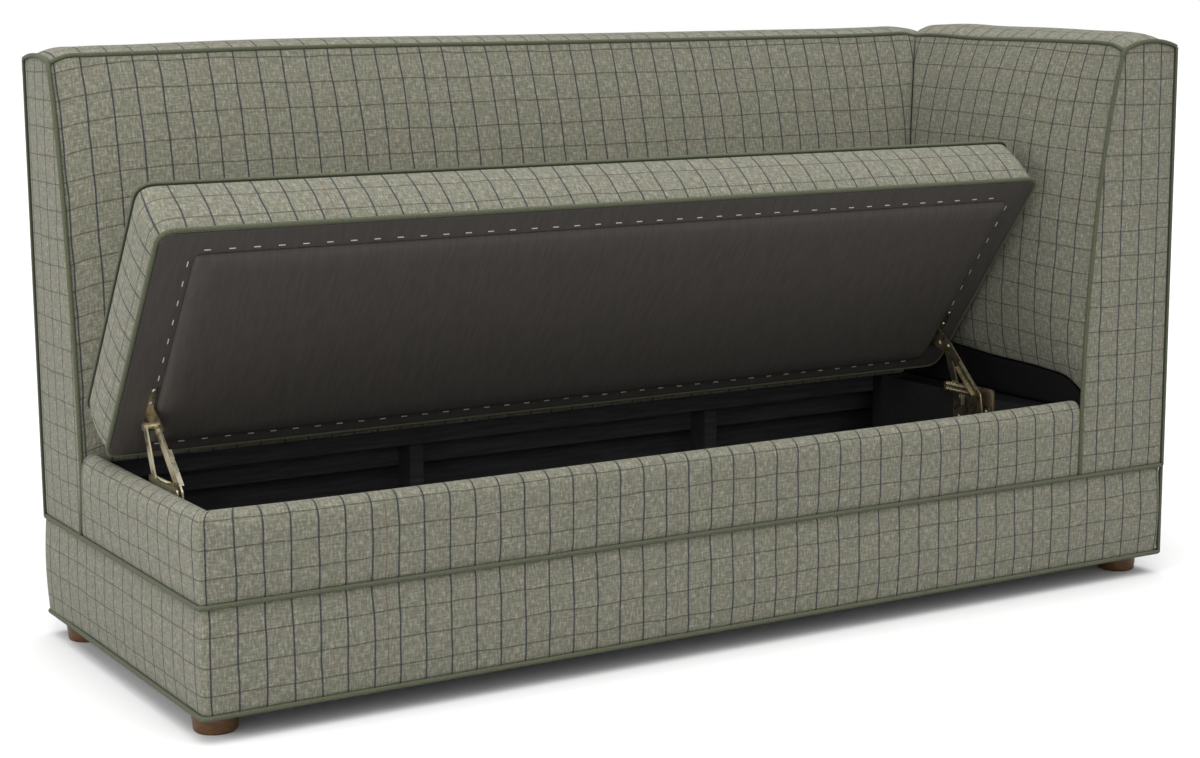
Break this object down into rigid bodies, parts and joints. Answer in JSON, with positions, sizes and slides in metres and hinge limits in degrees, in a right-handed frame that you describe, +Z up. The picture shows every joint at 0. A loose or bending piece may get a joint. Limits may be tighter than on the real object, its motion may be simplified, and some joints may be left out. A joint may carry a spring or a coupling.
{
  "type": "storage banquette",
  "caption": "Upholstered storage banquette with a full-length back, an arm at one end, low round feet and a seat lid that tilts up on spring-assisted hinges.",
  "frame": {"origin": "on the floor, under the middle of the length and depth", "axes": "+X to the sitter's left along the length, to the arm; +Y from the front edge to the back; +Z up"},
  "size_m": [1.8416, 0.7008, 0.9717],
  "materials": {
    "tweed": "grey-green woven wool, dark windowpane check",
    "piping": "olive green welt cord",
    "black_lining": "matte black lining cloth",
    "underside_cloth": "dark brown-grey lining cloth",
    "black_timber": "matte black painted timber",
    "plywood": "bare plywood and softwood",
    "foot_wood": "dark red-brown satin varnish",
    "foam": "upholstery foam and wadding",
    "webbing": "elastic webbing",
    "yellow_zinc": "yellow zinc-plated steel, faint pink and green sheen",
    "steel": "plain zinc-plated steel"
  },
  "bodies": {
    "base": {"arm_foam": "foam", "arm_front_cover": "tweed", "arm_inside_cover": "tweed", "arm_ledge": "black_timber", "arm_lining": "black_lining", "arm_outer_board": "plywood", "arm_outer_cover": "tweed", "arm_pipings": "piping", "arm_posts": "plywood", "arm_top_boxing": "tweed", "arm_top_rail": "plywood", "back_end_cover": "tweed", "back_foam": "foam", "back_inside_cover": "tweed", "back_pipings": "piping", "back_posts": "black_timber", "back_rear_board": "plywood", "back_rear_cover": "tweed", "back_top_boxing": "tweed", "back_top_rail": "plywood", "back_webbing": "webbing", "base_pipings": "piping", "box_panels": "plywood", "corner_blocks": "plywood", "dust_cloth": "black_lining", "floor_board": "plywood", "floor_cleats": "plywood", "foot_bolts": "steel", "foot_front_left": "foot_wood", "foot_front_right": "foot_wood", "foot_rear_left": "foot_wood", "foot_rear_right": "foot_wood", "front_wall_cover": "tweed", "hinge_base_pins": "yellow_zinc", "hinge_base_screws": "steel", "hinge_bases": "yellow_zinc", "hinge_board": "black_timber", "left_wall_cover": "tweed", "lower_band_cover": "tweed", "lower_band_wadding": "foam", "lower_rail": "black_timber", "seat_rail": "black_timber", "springs_left": "yellow_zinc", "springs_right": "yellow_zinc", "storage_lining": "black_lining", "wall_wadding": "foam"},
    "front_arms": {"front_arms": "yellow_zinc"},
    "rear_arms": {"rear_arms": "yellow_zinc"},
    "lid": {"lid_board": "plywood", "lid_boxing": "tweed", "lid_bracket_screws": "steel", "lid_brackets": "yellow_zinc", "lid_foam": "foam", "lid_pipings": "piping", "lid_staples": "steel", "lid_top_cover": "tweed", "lid_underside_cloth": "underside_cloth", "lid_underside_panel": "underside_cloth", "hinge_lid_pins": "yellow_zinc"}
  },
  "joints": [
    {"name": "lid_lift", "type": "hinge", "parent": "base", "child": "front_arms", "pos_m": [0, -0.157, 0.255], "axis": [1, 0, 0], "range_deg": [-43.8, 0], "stiffness_Nm_per_rad": 26, "springref_deg": 65.89},
    {"name": "lid_pivot", "type": "hinge", "parent": "front_arms", "child": "lid", "pos_m": [0, -0.06264, 0.40077], "axis": [1, 0, 0], "range_deg": [0, 97.3]},
    {"name": "rear_arm_swing", "type": "hinge", "parent": "base", "child": "rear_arms", "pos_m": [0, -0.081, 0.308], "axis": [1, 0, 0], "range_deg": [-62, 0], "deforming": ["springs_left", "springs_right"]}
  ],
  "couplings": [
    {"joint": "lid_pivot", "follows": "lid_lift", "ratio": -2.2215},
    {"joint": "rear_arm_swing", "follows": "lid_lift", "ratio": 1.4155}
  ]
}
